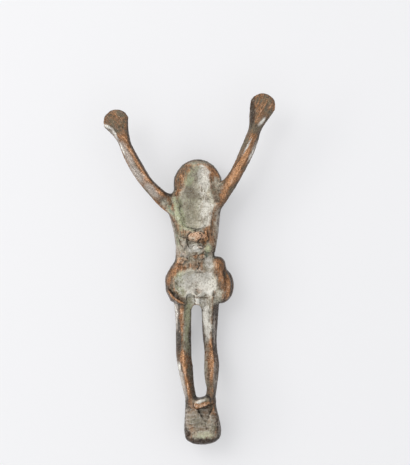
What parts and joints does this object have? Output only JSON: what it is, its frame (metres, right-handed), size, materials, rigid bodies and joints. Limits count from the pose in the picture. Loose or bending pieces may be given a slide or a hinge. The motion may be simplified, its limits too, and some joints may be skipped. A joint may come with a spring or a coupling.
{
  "type": "crucifix corpus figure",
  "caption": "Small cast bronze figure with raised arms, a loincloth and crossed feet, hollow at the back, made to be fixed to a cross.",
  "frame": {"origin": "on the surface that the figure lies on, below the middle of its outline", "axes": "+Y from the feet to the head and hands, +X towards the figure's right, +Z from its front to its hollow back, which is uppermost"},
  "size_m": [0.0586, 0.1202, 0.014],
  "materials": {
    "bronze": "worn brown patina with pale residue in the hollows"
  },
  "bodies": {
    "root": {"corpus": "bronze"}
  },
  "joints": []
}
